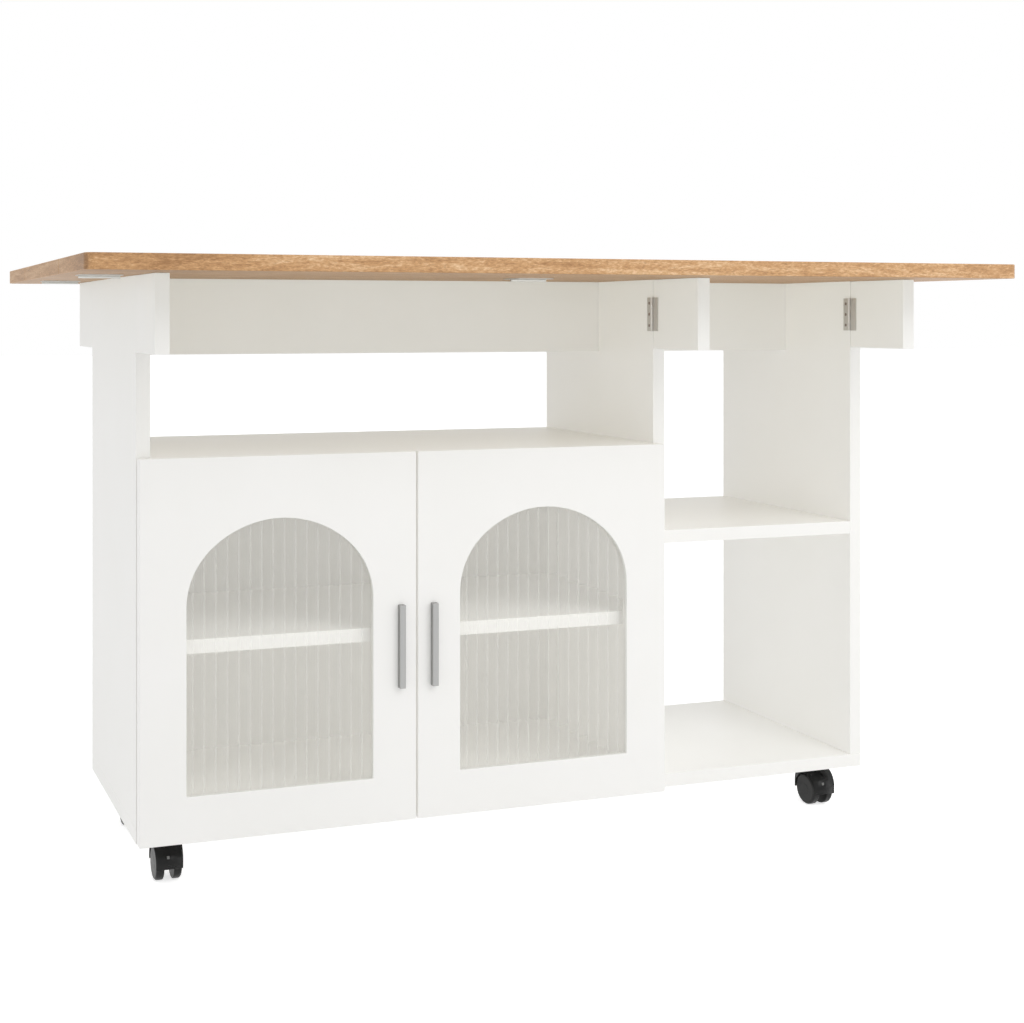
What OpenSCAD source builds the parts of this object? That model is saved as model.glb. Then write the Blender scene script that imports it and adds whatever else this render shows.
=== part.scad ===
// Drop leaf kitchen island: a white cabinet on casters under an oak finish worktop.
// Millimetres, +Z up. The origin is on the floor under the middle of the worktop.
// The doors face -Y, the open bay is on the +X side, and the leaves lie along -Y and +Y.

/* [Worktop] */
// How far the worktop stands past the cabinet at each end
top_overhang = 111; // [96:1:160]
// Height of the worktop's upper face above the floor
top_height = 912; // [896:1:940]
// Thickness of the worktop boards
top_t = 22; // [20:1:28]
// How far the fixed centre board stands past the panels, front and back
center_overhang = 2; // [1:0.5:4]
// Depth of each drop leaf
leaf_depth = 234; // [180:2:260]
// Joint between a leaf and the centre board
leaf_gap = 1; // [0.9:0.1:1.5]
// Radius of the leaves' outer corners, seen from above
leaf_corner_r = 14; // [4:1:30]

/* [Cabinet] */
// Width over the two end panels
cabinet_width = 1238; // [1180:2:1400]
// Depth of the panels
cabinet_depth = 380; // [360:5:420]
// Thickness of panels, shelves and spine boards
board_t = 21; // [19:1:24]
// Clear width of the closed cabinet, between the left and the middle panel
door_bay = 820; // [760:5:860]
// Height of the counter's upper face
counter_height = 627; // [600:1:650]
// Height of the spine boards under the worktop
spine_height = 119; // [114:1:125]
// Thickness of the cabinet's back sheet
back_sheet_t = 5; // [3:1:6]
// Distance from the panels' rear edges to the back sheet
back_sheet_inset = 7; // [5:1:20]
// Depth of the groove that holds the back sheet
groove_depth = 6; // [4:1:8]
// Upper face of the open bay's shelf
bay_shelf_height = 486; // [440:2:520]
// Distance from the closed cabinet's front edge to its shelf
cabinet_shelf_setback = 5; // [3:1:30]

/* [Doors] */
// Thickness of the doors
door_t = 18; // [17:1:20]
// Gap between the doors and the carcass
door_gap = 2; // [1.8:0.1:3]
// Distance from the left panel's outer face to the left door's edge
door_side_reveal = 1; // [0.5:0.5:3]
// How far the right door laps over the middle panel
middle_overlap = 10; // [7:0.5:11]
// Gap between the two doors
door_split = 3; // [2:0.5:5]
// Door frame beside the arched window
window_side = 69; // [60:1:80]
// Door frame above the arched window
window_top = 92; // [70:1:110]
// Door frame below the arched window
window_bottom = 67; // [55:1:90]
// How much the arch's crown radius exceeds half the window's width
crown_extra = 14.5; // [8:0.5:30]
// How much the arch's shoulder radius falls short of half the window's width
shoulder_less = 28.5; // [10:0.5:40]
// Thickness of the lip in front of the glass
window_lip = 5.5; // [4.6:0.1:7]
// Width of the ledge that the glass lies on
glass_ledge = 10; // [8:1:14]
// Thickness of the fluted glass, over its ribs
glass_t = 4; // [3:0.5:5]
// Depth of the flutes in the glass
flute_depth = 0.9; // [0.5:0.1:1.2]
// Number of flutes across a pane
flute_count = 18; // [12:1:24]

/* [Handles] */
// Length of a door handle
handle_length = 125; // [100:5:160]
// Width of the square handle bar
handle_w = 9.5; // [8:0.5:12]
// How far the handle bar stands out from its door
handle_depth = 10; // [8:0.5:14]
// Distance between a handle's two screws
handle_screw_spacing = 96; // [64:16:96]
// Distance from the handle's middle to its door's free edge
handle_inset = 25; // [20:1:35]
// Height of the handle's middle above the floor
handle_height = 335; // [300:1:400]
// Radius of the handle's machine screws
handle_screw_r = 2; // [1.5:0.1:2.5]

/* [Leaf supports] */
// Length of a swing-out support board
support_reach = 131; // [120:1:140]
// Height of a support board
support_height = 111; // [100:1:114]
// Gap between a support board and its panel's edge
support_gap = 1; // [0.8:0.1:1.5]
// Running gap between a support board and the worktop
support_clearance = 0.3; // [0.3:0.1:1]

/* [Butt hinges] */
// Length of a support board's hinge
support_hinge_length = 54; // [46:1:60]
// Width of one plate of a support board's hinge
support_plate_w = 16; // [14:0.5:20]
// Length of a leaf hinge
leaf_hinge_length = 60; // [50:1:76]
// Width of one plate of a leaf hinge
leaf_plate_w = 27; // [22:1:34]
// Distance from the worktop's end to the middle of an end hinge
leaf_hinge_inset = 58; // [40:1:60]
// Thickness of the hinge plates
plate_t = 1.5; // [1.4:0.1:1.8]
// Radius of the hinge knuckles
knuckle_r = 2.5; // [2.3:0.1:2.7]
// Radius of the hinge pins
pin_r = 1.2; // [1:0.1:1.4]

/* [Door hinges] */
// Radius of a hinge cup
cup_r = 17.5; // [13:0.5:17.5]
// Depth of a hinge cup
cup_depth = 11.5; // [10:0.5:12.5]
// Distance from the door's edge to the middle of a cup
cup_inset = 22.5; // [21:0.5:26]
// Distance from the door's top and bottom to its cups
cup_end_distance = 100; // [80:5:140]
// Length of a hinge arm
arm_length = 70.5; // [60:0.5:80]
// Width of a hinge arm
arm_w = 16; // [12:1:20]
// How far a hinge arm stands out from its panel
arm_height = 15; // [12:0.5:18]
// Distance from the panel's front edge to an arm's mounting plate
arm_mount_setback = 30; // [25:1:37]
// Length of an arm's mounting plate, along the arm
arm_mount_length = 36; // [30:1:40]
// Width of an arm's mounting plate, across the arm
arm_mount_w = 44; // [36:1:52]
// Thickness of an arm's mounting plate
arm_mount_t = 3; // [2:0.5:4]
// Radius of a door bumper
bumper_r = 4; // [3:0.5:5]
// Distance from a door's free edge to its bumpers
bumper_inset = 15; // [8:1:20]

/* [Casters] */
// Height of a caster, floor to top plate
caster_height = 72; // [70:1:80]
// Diameter of a caster wheel
wheel_d = 50; // [46:1:51]
// Width of one caster wheel
wheel_w = 12.5; // [10:0.5:14]
// Gap between the two wheels of a caster
wheel_spacing = 14.5; // [13:0.5:16]
// Distance from the swivel axis to the axle
caster_trail = 12; // [10:0.5:14]
// Distance from the cabinet's end to a swivel axis
caster_end_inset = 55; // [48:1:90]
// Distance from the cabinet's front or back to a swivel axis
caster_side_inset = 62.5; // [60:0.5:90]
// Radius of the caster's axle
axle_r = 3; // [2.5:0.1:3.5]
// Radius of the caster's swivel stem
stem_r = 4; // [3.5:0.1:5]

/* [Fasteners] */
// Radius of the wooden dowels
dowel_r = 4; // [3:0.5:5]
// Length of the wooden dowels
dowel_length = 28; // [24:1:32]
// Distance from the cabinet's front and rear to the counter's outer dowels
counter_dowel_inset = 50; // [35:5:80]
// Distance from the cabinet's front and rear to the bay shelf's dowels
bay_shelf_dowel_inset = 70; // [40:5:100]
// Distance from a spine's upper and lower edge to its dowels
spine_dowel_inset = 30; // [20:1:45]
// Distance from the cabinet's front and rear to the outer dowels under the panels
base_dowel_inset = 60; // [40:5:90]
// Distance from the cabinet's front and rear to the dowels over the panels
top_dowel_inset = 40; // [30:5:70]
// Radius of the shelf pins
shelf_pin_r = 2.5; // [2:0.5:3]
// Distance from the cabinet's front and rear to the shelf pins
shelf_pin_inset = 60; // [40:5:90]
// Radius of the wood screws' shanks
screw_r = 1.4; // [1.2:0.1:1.6]
// Length of the hinge screws in the wood
screw_length = 11; // [8:1:12]

/* [Hidden] */
$fn = 48;
white = [0.95, 0.95, 0.93];
oak = [0.80, 0.62, 0.42];
steel = [0.66, 0.65, 0.62];
nickel = [0.70, 0.70, 0.70];
black = [0.09, 0.09, 0.10];
glass = [0.80, 0.82, 0.80, 0.5];

// Small running gaps
fit = 0.02;          // a dowel, screw or pin in its bore
turn = 0.05;         // a hinge pin, axle or stem in its bore
slack = 0.5;         // a loose shelf between its panels, at each end
groove_play = 0.15;  // the back sheet in its groove
glass_play = 0.5;    // a pane between its ledge's edges, on each side
glass_seat = 0.1;    // a pane or bead to the face that it lies on
bead_recess = 0.2;   // the beads behind the door's rear face
hood_play = 0.2;     // a hood under its thrust race
bumper_play = 0.3;   // a closed door in front of its bumpers
knuckle_play = 0.2;  // between neighbouring knuckles
over = 5;            // how far a cutting shape runs past the face it cuts

// Main planes
under_top = top_height - top_t;
top_length = cabinet_width + 2 * top_overhang;
center_depth = cabinet_depth + 2 * center_overhang;
leaf_line = center_depth / 2 + leaf_gap / 2;
front = -cabinet_depth / 2;
rear = cabinet_depth / 2;
base_bottom = caster_height;
base_top = base_bottom + board_t;
left_out = -cabinet_width / 2;
left_in = left_out + board_t;
mid_left = left_in + door_bay;
mid_right = mid_left + board_t;
right_out = cabinet_width / 2;
right_in = right_out - board_t;
panel_middles = [left_out + board_t / 2, mid_left + board_t / 2, right_in + board_t / 2];
counter_bottom = counter_height - board_t;
cabinet_shelf_bottom = (base_top + counter_bottom - board_t) / 2;
bay_shelf_bottom = bay_shelf_height - board_t;
spine_bottom = under_top - spine_height;
sheet_y = rear - back_sheet_inset - back_sheet_t;

// Doors: [left edge, right edge, hinge side] for the left and the right door
doors_left = left_out + door_side_reveal;
doors_right = mid_left + middle_overlap;
door_w = (doors_right - doors_left - door_split) / 2;
doors = [[doors_left, doors_left + door_w, -1], [doors_right - door_w, doors_right, 1]];
door_back = front - door_gap;
door_front = door_back - door_t;
window_w = door_w - 2 * window_side;
window_low = base_bottom + window_bottom;
window_high = counter_height - window_top;
crown_r = window_w / 2 + crown_extra;
shoulder_r = window_w / 2 - shoulder_less;
crown_z = window_high - crown_r;
shoulder_z = crown_z + sqrt(pow(crown_r - shoulder_r, 2) - pow(shoulder_less, 2));
glass_front = door_front + window_lip + glass_seat;
cup_heights = [base_bottom + cup_end_distance, counter_height - cup_end_distance];
arm_start = 1.5;                  // from the panel's front edge to a hinge arm

// Leaf supports: [panel's inner face, hinge side of that face, front or back]
support_faces = [[left_in, 1], [mid_left, -1], [right_in, -1]];
support_spots = ["left", "middle", "right"];
supports = [for (f = [-1, 1], s = support_faces) [s[0], s[1], f]];
support_names = [for (row = ["front", "back"], spot = support_spots) str(row, "_", spot)];
support_top = under_top - support_clearance;
support_bottom = support_top - support_height;
support_hinge_z = (support_top + support_bottom) / 2;

// Butt hinges
knuckles = 5;
knuckle_rise = knuckle_r + 0.3;   // height of the pin above the boards that the plates lie on
plate_inset = 0.5;                // from the pin's line to the edge of each plate
screw_head_r = 2.5;
screw_head_h = 1;
screw_end = 9;                    // from a plate's end to its outer screws
leaf_hinge_xs = [-top_length / 2 + leaf_hinge_inset, 0, top_length / 2 - leaf_hinge_inset];

// Casters: [x, y] of each swivel axis
caster_x = cabinet_width / 2 - caster_end_inset;
caster_y = cabinet_depth / 2 - caster_side_inset;
casters = [[-caster_x, -caster_y], [caster_x, -caster_y], [-caster_x, caster_y], [caster_x, caster_y]];
caster_names = ["front_left", "front_right", "back_left", "back_right"];
wheel_r = wheel_d / 2;
wheel_sides = [-1, 1];
wheel_names = ["left", "right"];
caster_plate_t = 2.5;
caster_plate_size = 50;
caster_screw_spacing = 38;
race_h = 3.5;                       // thrust race under the top plate
race_r = 13;
stem_length = 30;                   // under the race
hood_top = caster_height - caster_plate_t - race_h - hood_play;
hood_gap = 1.3;                     // between a wheel's tread and the hood
hood_wall = 2.7;
web_w = wheel_spacing - 1.4;        // between the wheels
hood_w = wheel_spacing + 2 * wheel_w + 0.5;
hood_rise = 10;                     // of the round fender's upper half over the axle
hood_low = wheel_r - 2.5;
hood_back = 27;                     // from the axle to the hood's rear end
hood_front = 6;                     // from the axle to the hood's raised part
pilot_r = 1.6;                      // caster screws
caster_screw_length = 14;           // in the wood
caster_head_r = 3.4;
caster_head_h = 2;

// Dowels across the panels' faces: [face, direction out of the panel, y, z]
dowel_in = 9;
counter_dowels = [for (e = [[left_in, 1], [mid_left, -1]],
                       y = [front + counter_dowel_inset, 0, rear - counter_dowel_inset])
    [e[0], e[1], y, counter_height - board_t / 2]];
bay_shelf_dowels = [for (e = [[mid_right, 1], [right_in, -1]],
                         y = [front + bay_shelf_dowel_inset, rear - bay_shelf_dowel_inset])
    [e[0], e[1], y, bay_shelf_height - board_t / 2]];
spine_dowel_heights = [spine_bottom + spine_dowel_inset, under_top - spine_dowel_inset];
left_spine_dowels = [for (e = [[left_in, 1], [mid_left, -1]], z = spine_dowel_heights) [e[0], e[1], 0, z]];
right_spine_dowels = [for (e = [[mid_right, 1], [right_in, -1]], z = spine_dowel_heights) [e[0], e[1], 0, z]];
side_dowels = concat(counter_dowels, bay_shelf_dowels, left_spine_dowels, right_spine_dowels);
// Upright dowels: [x, y, face, direction into the panel]
base_dowels = [for (x = panel_middles, y = [front + base_dowel_inset, 0, rear - base_dowel_inset])
    [x, y, base_top, 1]];
top_dowels = [for (x = panel_middles, y = [front + top_dowel_inset, rear - top_dowel_inset])
    [x, y, under_top, -1]];
upright_dowels = concat(base_dowels, top_dowels);
// Shelf pins: [face, direction out of the panel, y]
pin_length = 18;
pin_in = 9;
shelf_pins_at = [for (e = [[left_in, 1], [mid_left, -1]], y = [front + shelf_pin_inset, rear - shelf_pin_inset])
    [e[0], e[1], y]];

support_nodes = [for (n = support_names) str("leaf_support_", n)];
support_plate_nodes = [for (n = support_names) str("support_hinge_", n)];
hood_nodes = [for (n = caster_names) str("caster_hood_", n)];
wheel_nodes = [for (n = caster_names, w = wheel_names) str("caster_wheel_", n, "_", w)];

// A board given by its lowest and highest corners
module board(low, high) {
    translate(low) cube(high - low);
}

// Dowels or their bores: grow widens and lengthens them
module side_dowel(list, grow = 0) {
    for (d = list)
        translate([d[0] + d[1] * (dowel_length / 2 - dowel_in), d[2], d[3]])
            rotate([0, 90, 0])
                cylinder(r = dowel_r + grow, h = dowel_length + 10 * grow, center = true);
}

module upright_dowel(list, grow = 0) {
    for (d = list)
        translate([d[0], d[1], d[2] + d[3] * (dowel_length / 2 - dowel_in)])
            cylinder(r = dowel_r + grow, h = dowel_length + 10 * grow, center = true);
}

module shelf_pin(grow = 0) {
    for (p = shelf_pins_at)
        translate([p[0] + p[1] * (pin_length / 2 - pin_in), p[2], cabinet_shelf_bottom - shelf_pin_r])
            rotate([0, 90, 0])
                cylinder(r = shelf_pin_r + grow, h = pin_length + 10 * grow, center = true);
}

// The groove that runs round the back of the closed cabinet
module sheet_groove() {
    board([left_in - groove_depth, sheet_y - groove_play, base_top - groove_depth],
          [mid_left + groove_depth, sheet_y + back_sheet_t + groove_play, counter_bottom + groove_depth]);
}

// One knuckle of a butt hinge, in the hinge's own frame
module knuckle(length, index, grow) {
    step = length / knuckles;
    translate([-length / 2 + (index + 0.5) * step, 0, knuckle_rise])
        rotate([0, 90, 0])
            cylinder(r = knuckle_r + grow, h = step + 2 * grow - (grow > 0 ? 0 : knuckle_play), center = true);
}

// Places of the screws in one plate, in the hinge's own frame
function plate_screws(length, width, side) =
    [for (k = [-1, 0, 1]) [k * (length / 2 - screw_end), side * width * 0.62, 0]];

module plate_screw(places, grow = 0) {
    for (p = places)
        translate(p) {
            translate([0, 0, plate_t - screw_head_h - 0.1])
                cylinder(r = screw_head_r + grow, h = screw_head_h + (grow > 0 ? over : 0));
            translate([0, 0, -screw_length - grow])
                cylinder(r = screw_r + grow, h = screw_length + plate_t - screw_head_h);
        }
}

// One plate of a butt hinge. The boards' face is z = 0, the pin runs along X, and side +1 is the fixed plate
module hinge_plate(length, width, side) {
    difference() {
        union() {
            difference() {
                translate([-length / 2, side > 0 ? plate_inset : -width, 0])
                    cube([length, width - plate_inset, plate_t]);
                for (k = [0 : knuckles - 1])
                    if (((k % 2 == 0) ? 1 : -1) != side) knuckle(length, k, 0.3);
            }
            for (k = [0 : knuckles - 1])
                if (((k % 2 == 0) ? 1 : -1) == side) knuckle(length, k, 0);
        }
        hinge_pin(length + over, turn);
        plate_screw(plate_screws(length, width, side), fit);
    }
}

module hinge_pin(length, grow = 0) {
    translate([0, 0, knuckle_rise])
        rotate([0, 90, 0])
            cylinder(r = pin_r + grow, h = length, center = true);
}

// Puts a hinge's own frame on a support board: s is one of supports
module at_support_hinge(s) {
    multmatrix([[0, 0, s[1], s[0]],
                [0, -s[2], 0, s[2] * (cabinet_depth / 2 + support_gap / 2)],
                [1, 0, 0, support_hinge_z],
                [0, 0, 0, 1]])
        children();
}

// Puts a hinge's own frame under the joint of a leaf: row is -1 for the front and 1 for the back
module at_leaf_hinge(row, x) {
    multmatrix([[1, 0, 0, x],
                [0, -row, 0, row * leaf_line],
                [0, 0, -1, under_top],
                [0, 0, 0, 1]])
        children();
}

// Bores for a support hinge's screws, side +1 in the panel and -1 in the support board
module support_screw_bores(s, side) {
    at_support_hinge(s)
        plate_screw(plate_screws(support_hinge_length, support_plate_w, side), fit);
}

module leaf_screw_bores(row, side) {
    for (x = leaf_hinge_xs)
        at_leaf_hinge(row, x)
            plate_screw(plate_screws(leaf_hinge_length, leaf_plate_w, side), fit);
}

// Full length board that the panels stand on and the casters are screwed to
module base_board() {
    color(white) difference() {
        board([left_out, front, base_bottom], [right_out, rear, base_top]);
        upright_dowel(base_dowels, fit);
        sheet_groove();
        caster_screw(fit);
    }
}

// A standing panel between the base board and the worktop: index is 0 left, 1 middle, 2 right
module panel(index) {
    x = panel_middles[index] - board_t / 2;
    color(white) difference() {
        board([x, front, base_top], [x + board_t, rear, under_top]);
        upright_dowel([for (d = upright_dowels) if (d[0] == panel_middles[index]) d], fit);
        side_dowel([for (d = side_dowels) if (d[0] >= x && d[0] <= x + board_t) d], fit);
        if (index < 2) {
            sheet_groove();
            shelf_pin(fit);
        }
        for (k = [index, index + 3]) support_screw_bores(supports[k], 1);
    }
}

// Counter over the closed cabinet, flush with the doors' upper edges
module counter_board() {
    color(white) difference() {
        board([left_in, front, counter_bottom], [mid_left, rear, counter_height]);
        side_dowel(counter_dowels, fit);
        sheet_groove();
    }
}

// Thin back sheet of the closed cabinet, held in a groove all round
module cabinet_back() {
    hold = groove_depth - 2 * groove_play;
    color(white)
        board([left_in - hold, sheet_y, base_top - hold],
              [mid_left + hold, sheet_y + back_sheet_t, counter_bottom + hold]);
}

// Loose shelf behind the doors, lying on four pins
module cabinet_shelf() {
    color(white)
        board([left_in + slack, front + cabinet_shelf_setback, cabinet_shelf_bottom],
              [mid_left - slack, sheet_y - slack, cabinet_shelf_bottom + board_t]);
}

// Fixed shelf of the open bay
module bay_shelf() {
    color(white) difference() {
        board([mid_right, front, bay_shelf_bottom], [right_in, rear, bay_shelf_height]);
        side_dowel(bay_shelf_dowels, fit);
    }
}

// Board at mid depth that ties two panels together under the worktop
module spine(x0, x1, list) {
    color(white) difference() {
        board([x0, -board_t / 2, spine_bottom], [x1, board_t / 2, under_top]);
        side_dowel(list, fit);
    }
}

// Fixed middle board of the worktop
module center_top() {
    color(oak) difference() {
        board([-top_length / 2, -center_depth / 2, under_top], [top_length / 2, center_depth / 2, top_height]);
        upright_dowel(top_dowels, fit);
        for (row = [-1, 1]) leaf_screw_bores(row, 1);
    }
}

// Drop leaf with two round outer corners: row is -1 for the front and 1 for the back
module leaf(row) {
    inner = leaf_line + leaf_gap / 2;
    outer = inner + leaf_depth;
    half = top_length / 2;
    r = leaf_corner_r;
    color(oak) difference() {
        translate([0, 0, under_top])
            linear_extrude(height = top_t)
                mirror([0, row > 0 ? 0 : 1])
                    union() {
                        translate([-half, inner]) square([top_length, leaf_depth - r]);
                        translate([-half + r, inner]) square([top_length - 2 * r, leaf_depth]);
                        for (s = [-1, 1]) translate([s * (half - r), outer - r]) circle(r = r);
                    }
        leaf_screw_bores(row, -1);
    }
}

// Swing-out board that carries a raised leaf: index is its place in supports
module leaf_support(index) {
    s = supports[index];
    near = cabinet_depth / 2 + support_gap;
    x = s[1] > 0 ? s[0] - board_t : s[0];
    color(white) difference() {
        board([x, s[2] > 0 ? near : -near - support_reach, support_bottom],
              [x + board_t, s[2] > 0 ? near + support_reach : -near, support_top]);
        support_screw_bores(s, -1);
    }
}

// Moving plate of a support hinge, with its screws
module support_hinge(index) {
    s = supports[index];
    color(steel)
        at_support_hinge(s) {
            hinge_plate(support_hinge_length, support_plate_w, -1);
            plate_screw(plate_screws(support_hinge_length, support_plate_w, -1));
        }
}

// Fixed plates of the support hinges
module support_hinge_plates() {
    color(steel)
        for (s = supports) at_support_hinge(s) hinge_plate(support_hinge_length, support_plate_w, 1);
}

// Fixed plates of the leaf hinges
module leaf_hinge_plates() {
    color(steel)
        for (row = [-1, 1], x = leaf_hinge_xs)
            at_leaf_hinge(row, x) hinge_plate(leaf_hinge_length, leaf_plate_w, 1);
}

// Moving plates of one leaf's hinges, with their screws
module leaf_hinges(row) {
    color(steel)
        for (x = leaf_hinge_xs)
            at_leaf_hinge(row, x) {
                hinge_plate(leaf_hinge_length, leaf_plate_w, -1);
                plate_screw(plate_screws(leaf_hinge_length, leaf_plate_w, -1));
            }
}

module hinge_pins() {
    color(nickel) {
        for (s = supports) at_support_hinge(s) hinge_pin(support_hinge_length);
        for (row = [-1, 1], x = leaf_hinge_xs) at_leaf_hinge(row, x) hinge_pin(leaf_hinge_length);
    }
}

// Screws of all the fixed hinge plates
module hinge_screws() {
    color(nickel) {
        for (s = supports)
            at_support_hinge(s) plate_screw(plate_screws(support_hinge_length, support_plate_w, 1));
        for (row = [-1, 1], x = leaf_hinge_xs)
            at_leaf_hinge(row, x) plate_screw(plate_screws(leaf_hinge_length, leaf_plate_w, 1));
    }
}

module dowels() {
    color(oak) {
        side_dowel(side_dowels);
        upright_dowel(upright_dowels);
    }
}

module shelf_pins() {
    color(nickel) shelf_pin();
}

// Outline of the arched window, seen from the front, with its middle at x = 0
module arch_outline() {
    reach = 2 * crown_r;
    foot_x = shoulder_less;
    union() {
        translate([-window_w / 2, window_low]) square([window_w, shoulder_z - window_low]);
        for (s = [-1, 1]) translate([s * foot_x, shoulder_z]) circle(r = shoulder_r);
        intersection() {
            translate([0, crown_z]) circle(r = crown_r);
            polygon([[0, crown_z],
                     [foot_x * reach / (shoulder_z - crown_z), crown_z + reach],
                     [-foot_x * reach / (shoulder_z - crown_z), crown_z + reach]]);
        }
    }
}

// Turns an outline in X and Z into a slab between two depths
module slab(y0, y1) {
    translate([0, y1, 0]) rotate([90, 0, 0]) linear_extrude(height = y1 - y0) children();
}

// Door with its arched window, glass ledge, cup bores and handle screw bores: index is 0 left, 1 right
module door(index) {
    d = doors[index];
    middle = (d[0] + d[1]) / 2;
    color(white) difference() {
        board([d[0], door_front, base_bottom], [d[1], door_back, counter_height]);
        translate([middle, 0, 0]) slab(door_front - over, door_back + over) arch_outline();
        board([middle - window_w / 2 - glass_ledge, door_front + window_lip, window_low - glass_ledge],
              [middle + window_w / 2 + glass_ledge, door_back + over, window_high + glass_ledge]);
        for (z = cup_heights)
            translate([cup_x(d), door_back + over, z])
                rotate([90, 0, 0])
                    cylinder(r = cup_r + fit, h = cup_depth + over + 0.3);
        handle_screw(d, fit);
    }
}

function cup_x(d) = d[2] < 0 ? d[0] + cup_inset : d[1] - cup_inset;
function handle_x(d) = d[2] < 0 ? d[1] - handle_inset : d[0] + handle_inset;

// Pane of fluted glass: flat behind, with a row of shallow round ribs in front and narrow flats between them
module pane(index) {
    d = doors[index];
    w = window_w + 2 * (glass_ledge - glass_play);
    h = window_high - window_low + 2 * (glass_ledge - glass_play);
    pitch = w / flute_count;
    rib_r = (pow(pitch / 2, 2) + pow(flute_depth, 2)) / (2 * flute_depth);
    base = 0.85 * flute_depth;
    color(glass)
        translate([(d[0] + d[1]) / 2, glass_front, (window_low + window_high) / 2 - h / 2])
            linear_extrude(height = h)
                intersection() {
                    translate([-w / 2, 0]) square([w, glass_t]);
                    union() {
                        translate([-w / 2, base]) square([w, glass_t - base]);
                        for (k = [0 : flute_count - 1])
                            translate([-w / 2 + (k + 0.5) * pitch, 0])
                                intersection() {
                                    translate([0, rib_r]) circle(r = rib_r, $fn = 96);
                                    translate([-pitch / 2, 0]) square([pitch, base + 0.5]);
                                }
                    }
                }
}

// Four strips behind the glass that hold it in its ledge
module glass_beads(index) {
    d = doors[index];
    middle = (d[0] + d[1]) / 2;
    w = window_w / 2 + glass_ledge - glass_seat;
    low = window_low - glass_ledge + glass_seat;
    high = window_high + glass_ledge - glass_seat;
    bead = 0.8 * glass_ledge;
    y0 = glass_front + glass_t + glass_seat;
    y1 = door_back - bead_recess;
    color(white) {
        for (x = [middle - w, middle + w - bead])
            board([x, y0, low], [x + bead, y1, high]);
        for (z = [low, high - bead])
            board([middle - w + bead + glass_seat, y0, z], [middle + w - bead - glass_seat, y1, z + bead]);
    }
}

// Machine screws through a door into its handle: d is one of doors
module handle_screw(d, grow = 0) {
    for (s = [-1, 1])
        translate([handle_x(d), 0, handle_height + s * handle_screw_spacing / 2])
            rotate([90, 0, 0]) {
                translate([0, 0, -door_back]) cylinder(r = handle_screw_r + grow, h = door_t + 6 + grow);
                if (grow == 0) translate([0, 0, -door_back - 2]) cylinder(r = 2 * handle_screw_r, h = 2);
            }
}

// Square bar handle that lies flat on its door, with its two screws
module handle(index) {
    d = doors[index];
    x = handle_x(d) - handle_w / 2;
    low = handle_height - handle_length / 2;
    high = handle_height + handle_length / 2;
    color(nickel) {
        difference() {
            board([x, door_front - handle_depth, low], [x + handle_w, door_front, high]);
            handle_screw(d, fit);
        }
        handle_screw(d);
    }
}

// Hinge cups with their flanges, pressed into a door
module hinge_cups(index) {
    d = doors[index];
    flange_w = 2 * cup_r - 1;
    flange_h = 2 * cup_r + 20;
    color(steel)
        for (z = cup_heights)
            translate([cup_x(d), door_back, z])
                difference() {
                    union() {
                        rotate([90, 0, 0]) cylinder(r = cup_r, h = cup_depth);
                        translate([-flange_w / 2, 0, -flange_h / 2]) cube([flange_w, 1, flange_h]);
                    }
                    translate([0, 2, 0]) rotate([90, 0, 0]) cylinder(r = cup_r - 3, h = cup_depth);
                }
}

// Mounting plates and arms of the door hinges, on the panels' inner faces
module door_hinge_arms() {
    color(steel)
        for (p = [[left_in, 1], [mid_left, -1]], z = cup_heights)
            translate([p[0], front, z])
                mirror([p[1] > 0 ? 0 : 1, 0, 0]) {
                    board([0, arm_mount_setback, -arm_mount_w / 2],
                          [arm_mount_t, arm_mount_setback + arm_mount_length, arm_mount_w / 2]);
                    board([arm_mount_t, arm_start, -arm_w / 2],
                          [arm_height, arm_start + arm_length, arm_w / 2]);
                }
}

// Small soft pads that the closed doors rest against
module door_bumpers() {
    color(white)
        for (x = [doors[0][1] - bumper_inset, doors[1][0] + bumper_inset])
            for (z = [base_bottom + board_t / 2, counter_height - board_t / 2])
                translate([x, front, z])
                    rotate([90, 0, 0])
                        cylinder(r = bumper_r, h = door_gap - bumper_play);
}

// Top plates of the casters, each with its thrust race and swivel stem
module caster_plates() {
    color(steel)
        for (c = casters)
            translate([c[0], c[1], base_bottom - caster_plate_t])
                difference() {
                    union() {
                        translate([-caster_plate_size / 2, -caster_plate_size / 2, 0])
                            cube([caster_plate_size, caster_plate_size, caster_plate_t]);
                        translate([0, 0, -race_h]) cylinder(r = race_r, h = race_h);
                        translate([0, 0, -race_h - stem_length]) cylinder(r = stem_r, h = race_h + stem_length);
                    }
                    for (sx = [-1, 1], sy = [-1, 1])
                        translate([sx * caster_screw_spacing / 2, sy * caster_screw_spacing / 2, -over])
                            cylinder(r = pilot_r + 0.2, h = caster_plate_t + 2 * over);
                }
}

module caster_screw(grow = 0) {
    for (c = casters, sx = [-1, 1], sy = [-1, 1])
        translate([c[0] + sx * caster_screw_spacing / 2, c[1] + sy * caster_screw_spacing / 2,
                   base_bottom - caster_plate_t]) {
            cylinder(r = pilot_r + grow, h = caster_plate_t + caster_screw_length + grow);
            translate([0, 0, -caster_head_h]) cylinder(r = caster_head_r, h = caster_head_h);
        }
}

module caster_screws() {
    color(nickel) caster_screw();
}

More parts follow.
